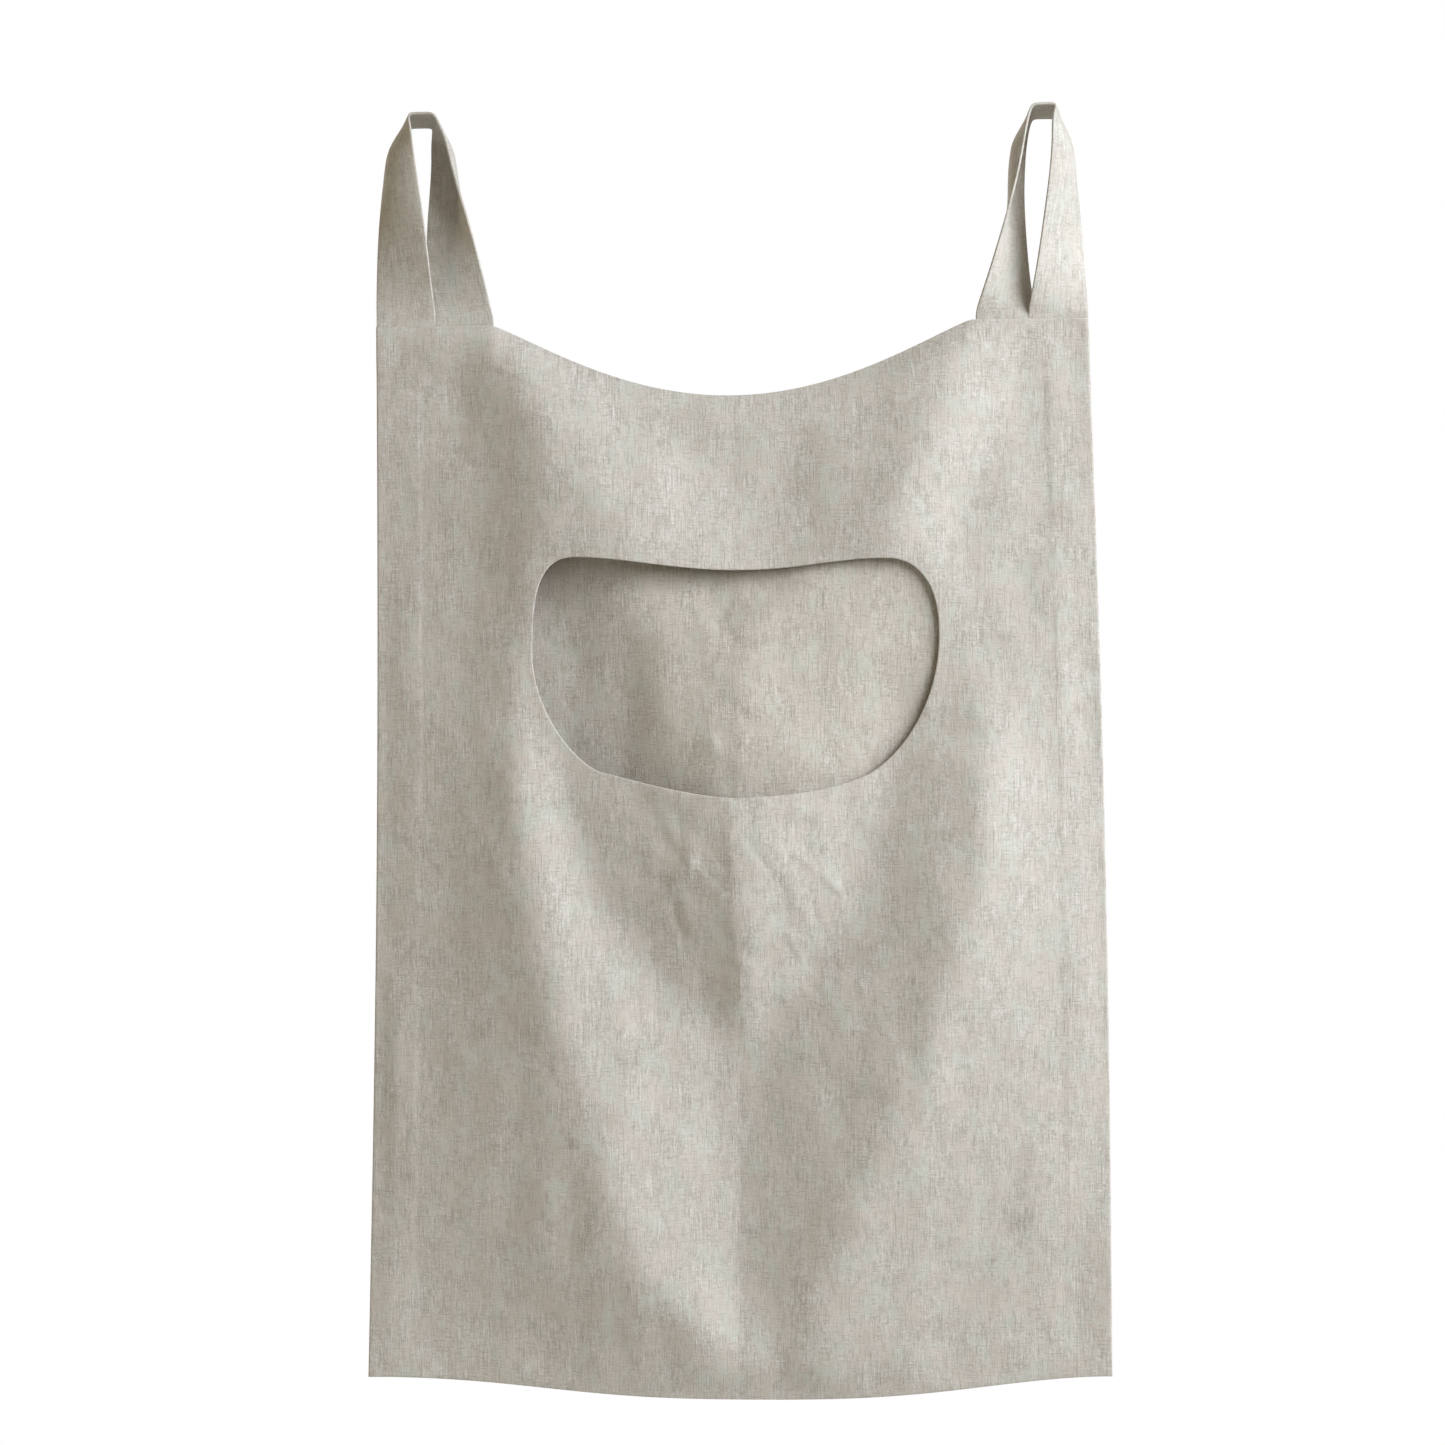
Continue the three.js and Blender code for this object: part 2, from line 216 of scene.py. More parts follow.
# Fold lines of the front panel at each height, from its left edge to its right one. Each is
# (x, how far it stands out). Above the mouth they are edge, flank, ridge, two ends of the long slope
# to the middle, valley, ridge, flank and edge. Below it they are edge, flank, ridge, valley, middle,
# valley, ridge, flank and edge: two ridges run down and meet over the lower edge.
FRONT_FOLDS = [
    (-140, [(-241, 0), (-205, 1), (-160, 3), (-150, 3), (-100, 1), (60, 1), (158, 3), (190, 1), (241, 0)]),
    (-170, [(-242, 0), (-180, 2), (-150, 9), (-141, 10), (-85, 2), (60, 2), (154, 10), (190, 2), (241, 0)]),
    (-200, [(-242, 0), (-178, 2), (-138, 14), (-122, 16), (-62, 4), (52, 5), (145, 16), (182, 4), (242, 0)]),
    (-250, [(-243, 0), (-173, 5), (-130, 18), (-88, 22), (-18, 7), (28, 6), (121, 20), (162, 3), (243, 0)]),
    (-292, [(-244, 0), (-170, 6), (-125, 20), (-66, 22), (5, 10), (26, 8), (99, 15), (148, 4), (244, 0)]),
    (-350, [(-244, 0), (-180, 6), (-134, 15), (-100, 15), (0, 13), (96, 8), (142, 4), (195, 4), (246, 0)]),
    (-400, [(-244, 0), (-190, 6), (-150, 14.5), (-128, 11.5), (0, 16), (120, 4), (164, 11), (200, 6),
            (249, 0)]),
    (-440, [(-244, 0), (-190, 7), (-142, 20), (-119, 11), (-5, 24), (107, 8), (165, 20), (204, 7),
            (250, 0)]),
    (-493, [(-245, 0), (-190, 7), (-136, 23), (-104, 9), (2, 26), (92, 11), (165, 24), (206, 9), (251, 0)]),
    (-535, [(-245, 0), (-190, 7), (-131, 24), (-84, 7), (5, 25), (78, 10), (157, 24), (206, 9), (251, 0)]),
    (-580, [(-246, 0), (-190, 7), (-123, 24), (-50, 5), (8, 17), (57, 8), (144, 24), (204, 9), (252, 0)]),
    (-625, [(-247, 0), (-190, 7), (-112, 23), (-12, 4), (8, 6), (20, 5), (127, 22), (198, 8), (252, 0)]),
    (-670, [(-248, 0), (-188, 9), (-98, 23), (-12, 3), (2, 3), (16, 4), (110, 20), (192, 8), (252, 0)]),
    (-725, [(-249, 0), (-178, 9), (-82, 21), (-8, 3), (2, 3), (12, 4), (82, 18), (182, 7), (252, 0)]),
    (-781, [(-250, 0), (-152, 6), (-62, 19), (-8, 4), (2, 3), (12, 4), (52, 15), (152, 3), (252, 0)]),
    (-832, [(-251, 0), (-125, 1), (0, 14), (10, 10), (16, 8.5), (22, 8.5), (42, 12), (135, 1), (252, 0)]),
    (-870, [(-252, 0), (-125, 0), (0, 0), (10, 0), (16, 0), (22, 0), (42, 0), (135, 0), (252, 0)]),
]
# The back panel's fold lines: edge, valley, ridge, ridge, flank and edge behind the mouth.
BACK_FOLDS = [
    (-140, [(-241, 0), (-150, 0), (-110, 0), (20, 0), (110, 0), (241, 0)]),
    (-230, [(-243, 0), (-150, -7), (-108, 3), (20, -2), (110, 2), (243, 0)]),
    (-300, [(-244, 0), (-142, -10), (-80, 6), (22, -8), (106, 9), (244, 0)]),
    (-350, [(-244, 0), (-125, -8), (-55, 7), (35, 13), (135, 4), (244, 0)]),
    (-400, [(-245, 0), (-95, -4), (-28, 13), (45, 14), (143, 2), (245, 0)]),
    (-455, [(-246, 0), (-95, -4), (-6, 17), (60, 14), (150, -2), (246, 0)]),
    (-560, [(-247, 0), (-130, -6), (0, 6), (90, -3), (160, -8), (247, 0)]),
    (-700, [(-249, 0), (-150, -8), (-20, 0), (60, -3), (160, -7), (249, 0)]),
    (-800, [(-251, 0), (-150, -5), (-20, 0), (60, -2), (160, -4), (251, 0)]),
    (-870, [(-252, 0), (-150, 0), (-20, 0), (60, 0), (160, 0), (252, 0)]),
]


def crumples(seed, count, region, angle, height):
    """Short random creases inside (x0, z0, x1, z1), which run at about that angle in degrees."""
    rng = np.random.default_rng(seed)
    total = np.zeros_like(GX)
    for _ in range(count):
        x, z = rng.uniform(region[0], region[2]), rng.uniform(region[1], region[3])
        turn = math.radians(angle) + rng.normal(0, 0.5)
        length = rng.uniform(20, 55)
        dx, dz = 0.5 * length * math.cos(turn), 0.5 * length * math.sin(turn)
        size = height * rng.uniform(0.5, 1.0) * rng.choice((-1, 1))
        total += crease(x - dx, z - dz, x + dx, z + dz, size, rng.uniform(2.6, 7))
    return total


def hem_step(width, height):
    """The turned-in allowances lift the cloth a little along every edge."""
    return height * (1 - smoothstep(width - 1.5, width + 1.5, NEAREST))


def around(x, z, across, along):
    """A soft patch about a point, 1 at its middle."""
    return np.exp(-0.5 * ((GX - x) / across) ** 2 - 0.5 * ((GZ - z) / along) ** 2)


def front_field():
    """How far the front stands out: its folds, soft ripples, pressed creases and small crumples."""
    field = folds(FRONT_FOLDS, 1.28, 9, 12)
    # ripples all over, with more of them under the mouth and along the lower edge
    field += 0.45 * ripples(SEED, 24, 130) + 0.4 * ripples(SEED + 1, 19, 44)
    field += 0.3 * ripples(SEED + 6, 26, 18) + 0.07 * ripples(SEED + 2, 8, 12)
    field += 0.75 * around(10, -535, 70, 60) * ripples(SEED + 7, 30, 24)
    field += 0.3 * (1 - smoothstep(18, 40, BOTTOM)) * ripples(SEED + 8, 18, 70)
    # pressed creases: down the middle, across below the mouth, and beside the left edge
    field += crease(-4, -452, 4, -600, 0.4, 5) - crease(2, -600, 1, -862, 0.7, 4)
    field -= crease(0, -190, 2, -305, 0.4, 4)
    field += crease(-150, -508, 225, -513, 0.26, 3) + crease(-229, -590, -237, -862, 0.7, 7)
    # crumples: under the mouth, lower down to the left, and faint ones over the lower half
    field += crumples(SEED + 3, 44, (-60, -610, 65, -470), -46, 0.85)
    field += crumples(SEED + 4, 9, (-95, -672, -40, -615), -50, 0.4)
    field += crumples(SEED + 5, 30, (-210, -820, 210, -480), 70, 0.25)
    return field * PINCH + hem_step(HEM, 0.45)


def back_field():
    """How far the back stands in, towards the front."""
    field = folds(BACK_FOLDS, 1.3, 14, 20)
    # it bulges forward inside the mouth, right of its middle
    field += 8 * around(54, -332, 30, 34)
    field += 0.45 * ripples(SEED + 10, 24, 110) + 0.32 * ripples(SEED + 11, 19, 44)
    field += 0.3 * ripples(SEED + 16, 26, 18) + 0.07 * ripples(SEED + 12, 8, 12)
    field += crease(3, -190, 5, -862, 0.5, 4) + crease(-230, -512, 230, -510, 0.22, 3)
    field += crumples(SEED + 13, 26, (-30, -450, 120, -320), -55, 0.95)
    field += crumples(SEED + 14, 24, (-210, -800, 210, -200), 60, 0.22)
    return field * PINCH - hem_step(HEM, 0.32)


def kept_behind(back, front, clearance=0.8, ease=1.5):
    """The back panel's field, eased away wherever it would come closer to the front than that."""
    gap = front - clearance - back
    return back - PINCH * ease * np.log1p(np.exp(-gap / ease))


FRONT = front_field()
BACK = kept_behind(back_field(), FRONT)


def strap_lift(x, z):
    """The seam opens where the strap tails are sewn in."""
    across = smoothstep(STRAP_BASES[0] - 5, STRAP_BASES[0] + 1, np.abs(x))
    across = across * (1 - smoothstep(STRAP_BASES[1] - 1, STRAP_BASES[1] + 2, np.abs(x)))
    return SEAM_OPENING * across * (1 - smoothstep(20, 36, top_edge(x) - z))


def seam_plane(x, z):
    """The bag's middle surface waves a little towards its lower edge."""
    low = smoothstep(-560, -860, z)
    return low * (2.2 * np.sin(x / 33 + 0.8) + 1.5 * np.sin(x / 71 - 1.0))


def front_y(x, z, depth=0.0):
    """The front panel's outer face, or a layer that many millimetres behind it."""
    return seam_plane(x, z) - (LAYER + strap_lift(x, z) + sample(FRONT, x, z)) + depth


def back_y(x, z, depth=0.0):
    return seam_plane(x, z) + (LAYER + strap_lift(x, z)) - sample(BACK, x, z) - depth


# ---------------------------------------------------------------- mesh helpers
def make_mesh(name, points, faces, uv=None):
    """A mesh object from points in millimetres; uv holds each point's place on the flat cloth."""
    mesh = bpy.data.meshes.new(name)
    points = np.asarray(points, float) * MM
    mesh.from_pydata(points.tolist(), [], [list(f) for f in faces])
    mesh.validate()
    if uv is not None:
        layer = mesh.uv_layers.new(name="cloth")
        loops = np.empty(len(mesh.loops), int)
        mesh.loops.foreach_get("vertex_index", loops)
        layer.data.foreach_set("uv", (np.asarray(uv)[loops] * MM).ravel())
    mesh.shade_smooth()
    obj = bpy.data.objects.new(name, mesh)
    bpy.context.scene.collection.objects.link(obj)
    return obj


def grid_faces(rows, columns, wrap=False):
    """Quads over a grid stored row by row; wrap joins the last column to the first."""
    i, j = np.meshgrid(np.arange(rows - 1), np.arange(columns if wrap else columns - 1), indexing="ij")
    k = (j + 1) % columns
    quads = np.stack([i * columns + j, i * columns + k, (i + 1) * columns + k, (i + 1) * columns + j], -1)
    return quads.reshape(-1, 4)


def thicken(obj, thickness, offset):
    """Cloth thickness, made real."""
    solid = obj.modifiers.new("thickness", "SOLIDIFY")
    solid.thickness = thickness * MM
    solid.offset = offset
    solid.use_even_offset = False
    solid.use_quality_normals = True
    apply_modifiers(obj)


def apply_modifiers(obj):
    graph = bpy.context.evaluated_depsgraph_get()
    mesh = bpy.data.meshes.new_from_object(obj.evaluated_get(graph), depsgraph=graph)
    obj.modifiers.clear()
    obj.data = mesh


def face_out(obj, point):
    """Turns a sheet's faces so that they look towards the point."""
    total = sum((p.normal.dot(Vector(point) * MM - p.center) * p.area for p in obj.data.polygons), 0.0)
    if total < 0:
        obj.data.flip_normals()


# ---------------------------------------------------------------- the mouth
def bezier(p0, p1, p2, p3, count):
    t = np.linspace(0, 1, count, endpoint=False)[:, None]
    p0, p1, p2, p3 = (np.array(p, float) for p in (p0, p1, p2, p3))
    return (1 - t) ** 3 * p0 + 3 * (1 - t) ** 2 * t * p1 + 3 * (1 - t) * t**2 * p2 + t**3 * p3


def mouth_outline():
    """The mouth's edge as a closed line of points, starting at the top and running clockwise."""
    x, w = MOUTH_X, MOUTH_HALF
    top, up, low = MOUTH_TOP, MOUTH_TOP_CORNER, MOUTH_BOTTOM
    right = np.concatenate([
        bezier((x, top), (x + 45, top), (x + 68, up - 1), (x + 103, up - 2), 60),
        bezier((x + 103, up - 2), (x + 124, up - 3), (x + w + 1, up - 22), (x + w, up - 54), 40),
        bezier((x + w, up - 54), (x + w, low + 72), (x + 118, low + 32), (x + 88, low + 15), 60),
        bezier((x + 88, low + 15), (x + 60, low + 3), (x + 32, low + 1), (x, low), 50),
    ])
    left = np.concatenate([
        bezier((x, low), (x - 28, low + 1), (x - 62, low + 10), (x - 92, low + 18), 50),
        bezier((x - 92, low + 18), (x - 112, low + 27), (x - w - 1, low + 62), (x - w, up - 62), 60),
        bezier((x - w, up - 62), (x - w, up - 24), (x - 130, up), (x - 108, up), 40),
        bezier((x - 108, up), (x - 78, up), (x - 40, top), (x, top), 60),
    ])
    return np.concatenate([right, left])


MOUTH = mouth_outline()
MOUTH_CENTRE = np.array([MOUTH_X, -380.0])


def along_rays(directions):
    """Where rays from the mouth's centre cross its edge."""
    offsets = MOUTH - MOUTH_CENTRE
    angles = np.arctan2(offsets[:, 1], offsets[:, 0])
    order = np.argsort(angles)
    radii = np.hypot(offsets[:, 0], offsets[:, 1])[order]
    wanted = np.arctan2(directions[:, 1], directions[:, 0])
    return np.interp(wanted, angles[order], radii, period=2 * np.pi)


# ---------------------------------------------------------------- the panels
def border(inset, spacing=3.0):
    """Points round the bag's edge, and the way out at each: both sides' ways at a corner."""
    points, ways = [], []
    sides = [
        ("top", TOP_HALF * 2),
        ("right", TOP_Z - BOTTOM_Z),
        ("bottom", BOTTOM_HALF * 2),
        ("left", TOP_Z - BOTTOM_Z),
    ]
    outward = {"top": (0, 1), "right": (1, 0), "bottom": (0, -1), "left": (-1, 0)}
    for n, (side, length) in enumerate(sides):
        count = int(length / spacing)
        t = np.linspace(0, 1, count, endpoint=False)
        s, v = {
            "top": (2 * t - 1, 0 * t),
            "right": (0 * t + 1, t),
            "bottom": (1 - 2 * t, 0 * t + 1),
            "left": (0 * t - 1, 1 - t),
        }[side]
        x, z = on_panel(s, v)
        way = np.tile(outward[side], (count, 1)).astype(float)
        way[0] += outward[sides[n - 1][0]]
        points.append(np.stack([x, z], 1))
        ways.append(way)
    points, ways = np.concatenate(points), np.concatenate(ways)
    return points - inset * ways, ways


def front_panel():
    """Rays from the mouth's edge to the bag's edge, rounded over at both."""
    edge, ways = border(EDGE_ROUND)
    rays = edge - MOUTH_CENTRE
    reach = np.hypot(rays[:, 0], rays[:, 1])
    rays = rays / reach[:, None]
    start = along_rays(rays) + LIP
    rows, uv = [], []

    def add(points, y):
        rows.append(np.stack([points[:, 0], y, points[:, 1]], 1))
        uv.append(points.copy())

    # the mouth's edge: the cloth turns over it and runs a little way back behind
    at_lip = MOUTH_CENTRE + rays * start[:, None]
    lip_y = front_y(at_lip[:, 0], at_lip[:, 1])
    for back in (3.0, 1.5):
        p = MOUTH_CENTRE + rays * (start + back)[:, None]
        add(p, front_y(p[:, 0], p[:, 1]) + 2 * LIP)
    for turn in np.radians((180, 150, 120, 90, 60, 30)):
        add(at_lip - rays * LIP * math.sin(turn), lip_y + LIP * (1 - math.cos(turn)))
    for t in np.linspace(0, 1, 136) ** 1.12:
        p = MOUTH_CENTRE + rays * (start + (reach - start) * t)[:, None]
        add(p, front_y(p[:, 0], p[:, 1]))
    edge_x, edge_z = edge.T
    seam_y = seam_plane(edge_x, edge_z) - strap_lift(edge_x, edge_z) - (LAYER - EDGE_ROUND)
    face = front_y(edge_x, edge_z)
    for turn in np.radians((25, 50, 75, 90)):
        p = edge + ways * EDGE_ROUND * math.sin(turn)
        add(p, seam_y + (face - seam_y) * math.cos(turn))
    points, flat = np.concatenate(rows), np.concatenate(uv)
    obj = make_mesh("front_panel_cloth", points, grid_faces(len(rows), len(edge), wrap=True), flat)
    face_out(obj, (0, -3000, -500))
    thicken(obj, CLOTH, -1)
    return obj


def back_panel():
    """A grid over the whole panel, rounded over at the seams."""
    turns = np.radians((90, 75, 50, 25))
    inner_s, inner_v = np.linspace(-1, 1, 170), np.linspace(0, 1, 240)
    s = np.concatenate([-np.ones(4), inner_s, np.ones(4)])
    v = np.concatenate([np.zeros(4), inner_v, np.ones(4)])
    over_s = np.concatenate([-turns, 0 * inner_s, turns[::-1]])
    over_v = np.concatenate([-turns, 0 * inner_v, turns[::-1]])
    S, V = np.meshgrid(s, v)
    OS, OV = np.meshgrid(over_s, over_v)
    x, z = on_panel(S * (1 - EDGE_ROUND / TOP_HALF), V)
    z = z + EDGE_ROUND * (2 * V - 1)
    seam = seam_plane(x, z) + strap_lift(x, z) + (LAYER - EDGE_ROUND)
    y = seam + (back_y(x, z) - seam) * np.cos(OS) * np.cos(OV)
    x = x + EDGE_ROUND * np.sin(OS)
    z = z - EDGE_ROUND * np.sin(OV)
    points = np.stack([x, y, z], -1).reshape(-1, 3)
    flat = np.stack([x + 700, z], -1).reshape(-1, 2)
    obj = make_mesh("back_panel_cloth", points, grid_faces(*S.shape), flat)
    face_out(obj, (0, 3000, -500))
    thicken(obj, CLOTH, -1)
    return obj


def strip(name, x, z, y, shift):
    """A flat layer of cloth over a grid of places."""
    points = np.stack([x, y, z], -1).reshape(-1, 3)
    flat = np.stack([x + shift, z + shift / 3], -1).reshape(-1, 2)
    obj = make_mesh(name, points, grid_faces(*x.shape), flat)
    thicken(obj, CLOTH, 0)
    return obj


def mouth_facing():
    """A ring of cloth behind the mouth's edge."""
    turns = np.linspace(-np.pi, np.pi, 400, endpoint=False)
    directions = np.stack([np.cos(turns), np.sin(turns)], 1)
    start = along_rays(directions) + 1.6
    rows = []
    for out in np.linspace(0, FACING, 18):
        p = MOUTH_CENTRE + directions * (start + out)[:, None]
        rows.append(np.stack([p[:, 0], front_y(p[:, 0], p[:, 1], FACING_DEPTH + CLOTH), p[:, 1]], 1))
    points = np.concatenate(rows)
    flat = points[:, (0, 2)] + (1500, 400)
    obj = make_mesh("mouth_facing_cloth", points, grid_faces(len(rows), len(turns), wrap=True), flat)
    thicken(obj, CLOTH, 0)
    return obj


def allowances():
    """The turned-in margin of each panel along each edge."""
    made = {}
    along, inward = np.meshgrid(np.linspace(0, 1, 160), np.linspace(0, 1, 8))
    corner = (HEM + 4) / (TOP_Z - BOTTOM_Z)
    for edge in ("top", "bottom", "left", "right"):
        if edge == "top":
            x = (2 * along - 1) * (TOP_HALF - HEM_INSET)
            z = top_edge(x) - HEM_INSET - HEM * inward
        elif edge == "bottom":
            x = (2 * along - 1) * (BOTTOM_HALF - HEM_INSET)
            z = bottom_edge(x) + HEM_INSET + HEM * inward
        else:
            side = -1 if edge == "left" else 1
            v = corner + (1 - 2 * corner) * along
            x = side * (half_width(v) - HEM_INSET - HEM * inward) + sway(v)
            z = TOP_Z + (BOTTOM_Z - TOP_Z) * v
        for face, layer_y in (("front", front_y), ("back", back_y)):
            y = layer_y(x, z, CLOTH + HEM_GAP)
            name = f"{face}_{edge}_allowance_cloth"
            made[f"{face}_{edge}"] = strip(name, x, z, y, 2200 + 600 * len(made))
    return made


# ---------------------------------------------------------------- the strap loops
def settle(t, rate):
    return 1 - np.exp(-t / rate)


# How each leg runs, with t from 0 at the hook to 1 at the seam: inward is its middle's distance from
# the hook, towards the bag's middle, and turn is how far its width has turned from front-to-back.
LEGS = {
    "left": {
        "outer": (lambda t: -8.5 - 7.0 * settle(t, 0.07) + 5.3 * t**1.5,
                  lambda t: 8 + 22 * settle(t, 0.08) + 54 * t + 6 * t**8),
        "inner": (lambda t: 8.2 + 4.5 * settle(t, 0.12) + 16.6 * t**1.7,
                  lambda t: 8 + 5 * settle(t, 0.06) + 77 * t),
    },
    "right": {
        "outer": (lambda t: -9.0 - 5.2 * settle(t, 0.15) + 3.9 * t**2.5,
                  lambda t: 5 + 12 * settle(t, 0.04) + 50 * t + 23 * t**8),
        "inner": (lambda t: 7.3 + 2.5 * settle(t, 0.06) + 15.2 * t**0.95,
                  lambda t: 5 + 64 * t**2 + 21 * t**14),
    },
}
# how far each leg's section curls at most, in radians
CURL = {"left": {"outer": 0.5, "inner": 0.85}, "right": {"outer": 0.5, "inner": 0.8}}
SEAT_CURL = 0.1
SEAT_REACH = (-7.2, 6.6)  # the flat over the hook, outwards and inwards
ROUNDING = 1.6  # of the bends over the hook, in steps of the path
# how far the section's faces stand out, and how its open and folded edges bow, in millimetres
FACE_SHARE = 0.92
OPEN_EDGE = (0.35, 0.62, 0.3, 0.62, 0.35)
FOLDED_EDGE = (0.35, 0.6, 0.7, 0.6, 0.35)
ACROSS = 17  # points across each face


def cupping(t, curl):
    """How far the strap's section curls, from its middle to its edge."""
    return SEAT_CURL + curl * smoothstep(0.02, 0.2, t) - (SEAT_CURL + curl) * smoothstep(0.24, 0.75, t)


def fold_height(side):
    return hinges[f"{side}_loop"][2] / MM


def strap_path(side):
    """Middle, turn and cupping along a loop, from the outer tail over the hook to the inner tail."""
    hinge_z = fold_height(side)
    seat_z = STRAP_THICK / 2 - 0.9
    legs = {}
    for leg, (inward, turn) in LEGS[side].items():
        t = np.linspace(0, 1, 110)
        z = seat_z + (hinge_z - seat_z) * t
        tail = np.linspace(0, TAIL, 14)[1:]
        middle = np.stack([np.concatenate([inward(t), inward(1.0) + 0 * tail]),
                           np.concatenate([z, hinge_z - tail])], 1)
        angle = np.concatenate([turn(t), 90 + 0 * tail])
        cup = np.concatenate([cupping(t, CURL[side][leg]), 0 * tail])
        legs[leg] = np.column_stack([middle, angle, cup])
    flat = np.linspace(*SEAT_REACH, 9)
    start_angle = LEGS[side]["outer"][1](0.0)
    seat = np.column_stack([flat, 0 * flat + seat_z, 0 * flat + start_angle, 0 * flat + SEAT_CURL])
    path = np.concatenate([legs["outer"][::-1], seat, legs["inner"]])
    # even spacing, then a little smoothing to round the bends over the hook
    length = np.concatenate([[0], np.cumsum(np.hypot(*np.diff(path[:, :2], axis=0).T))])
    even = np.linspace(0, length[-1], 240)
    path = np.column_stack([np.interp(even, length, path[:, k]) for k in range(4)])
    taps = np.exp(-0.5 * (np.arange(-6, 7) / ROUNDING) ** 2)
    taps /= taps.sum()
    padded = np.pad(path, [(6, 6), (0, 0)], mode="edge")
    padded[:6, :2] = path[0, :2] - (path[6:0:-1, :2] - path[0, :2])
    padded[-6:, :2] = path[-1, :2] - (path[-2:-8:-1, :2] - path[-1, :2])
    smooth = np.column_stack([np.convolve(padded[:, k], taps, mode="valid") for k in range(4)])
    return smooth, even


def strap_edge(base, normal, direction, bow):
    """One edge of the strap's section, from one face round to the other."""
    turns = np.radians((60, 30, 0, -30, -60)) * direction
    sideways = np.array([normal[1], -normal[0]]) * direction
    face = STRAP_THICK / 2 * FACE_SHARE
    return np.array([base + face * math.sin(t) * normal + sideways * b for t, b in zip(turns, bow)])


def strap_section(cup):
    """The section as (across, out) points, bent to that cupping: face, open edge, face, folded edge."""
    cup = max(cup, 1e-4)
    radius = STRAP_HALF / cup
    beta = np.linspace(-cup, cup, ACROSS)
    arc = np.stack([radius * np.sin(beta), radius * (np.cos(beta) - math.cos(cup))], 1)
    ways = np.stack([np.sin(beta), np.cos(beta)], 1)
    face = STRAP_THICK / 2 * ways * FACE_SHARE
    return np.concatenate([
        arc + face,
        strap_edge(arc[-1], ways[-1], 1, OPEN_EDGE),
        (arc - face)[::-1],
        strap_edge(arc[0], ways[0], -1, FOLDED_EDGE),
    ])


def strap(side):
    """The whole loop and both its tails, as one closed strip."""
    sign = -1 if side == "left" else 1
    hinge_z = fold_height(side)
    path, along = strap_path(side)
    x, z, angle, cup = path.T
    tangent = np.gradient(path[:, :2], axis=0)
    tangent /= np.hypot(*tangent.T)[:, None]
    across = np.linspace(-1, 1, ACROSS)
    over_edge = np.full(len(OPEN_EDGE), 1.04)
    spread = np.concatenate([across, over_edge, across[::-1], -over_edge])
    rings, flats = [], []
    for k in range(len(path)):
        turn = math.radians(angle[k])
        width = np.array([math.sin(turn), -math.cos(turn), 0])
        run = np.array([tangent[k, 0], 0, tangent[k, 1]])
        out = np.cross(width, run)
        out /= np.linalg.norm(out)
        section = strap_section(cup[k])
        ring = np.array([x[k], 0.0, z[k]]) + section[:, :1] * width + section[:, 1:] * out
        ring[:, 0] = sign * (HOOK_X - ring[:, 0]) + LOOP_LEAN * smoothstep(hinge_z, 0, z[k])
        rings.append(ring)
        flats.append(np.stack([spread * STRAP_HALF + 4000 + 300 * sign, np.full(len(spread), along[k])], 1))
    count = len(spread)
    points, flat = np.concatenate(rings), np.concatenate(flats)
    faces = [list(f) for f in grid_faces(len(rings), count, wrap=True)]
    faces.append(list(range(count))[::-1])
    faces.append([(len(rings) - 1) * count + k for k in range(count)])
    obj = make_mesh(f"{side}_strap_cloth", points, faces, flat)
    mesh = obj.data
    volume = sum(p.center.dot(p.normal) * p.area for p in mesh.polygons)
    if volume < 0:
        mesh.flip_normals()
    return obj


# ---------------------------------------------------------------- stitches
def stitches(name, line, length=2.6, pause=0.9, radius=0.22):
    """A row of separate stitches along a line of points, each a small rounded spindle."""
    line = np.asarray(line, float)
    steps = np.concatenate([[0], np.cumsum(np.linalg.norm(np.diff(line, axis=0), axis=1))])
    starts = np.arange(0, steps[-1] - length, length + pause)
    points, faces = [], []
    rounds, fat = (0.0, 0.12, 0.5, 0.88, 1.0), (0.15, 0.8, 1.0, 0.8, 0.15)
    sides = 6
    for s in starts:
        ends = [np.array([np.interp(s + length * r, steps, line[:, k]) for k in range(3)]) for r in (0, 1)]
        run = ends[1] - ends[0]
        run /= np.linalg.norm(run)
        first = np.cross(run, (0, 1, 0.01))
        first /= np.linalg.norm(first)
        second = np.cross(run, first)
        base = len(points)
        for r, f in zip(rounds, fat):
            middle = ends[0] + (ends[1] - ends[0]) * r
            for k in range(sides):
                a = 2 * math.pi * k / sides
                points.append(middle + radius * f * (math.cos(a) * first + math.sin(a) * second))
        quads = grid_faces(len(rounds), sides, wrap=True) + base
        faces += [list(q) for q in quads]
        faces.append([base + k for k in range(sides)][::-1])
        faces.append([base + (len(rounds) - 1) * sides + k for k in range(sides)])
    return make_mesh(name, points, faces, np.array(points)[:, (0, 2)])


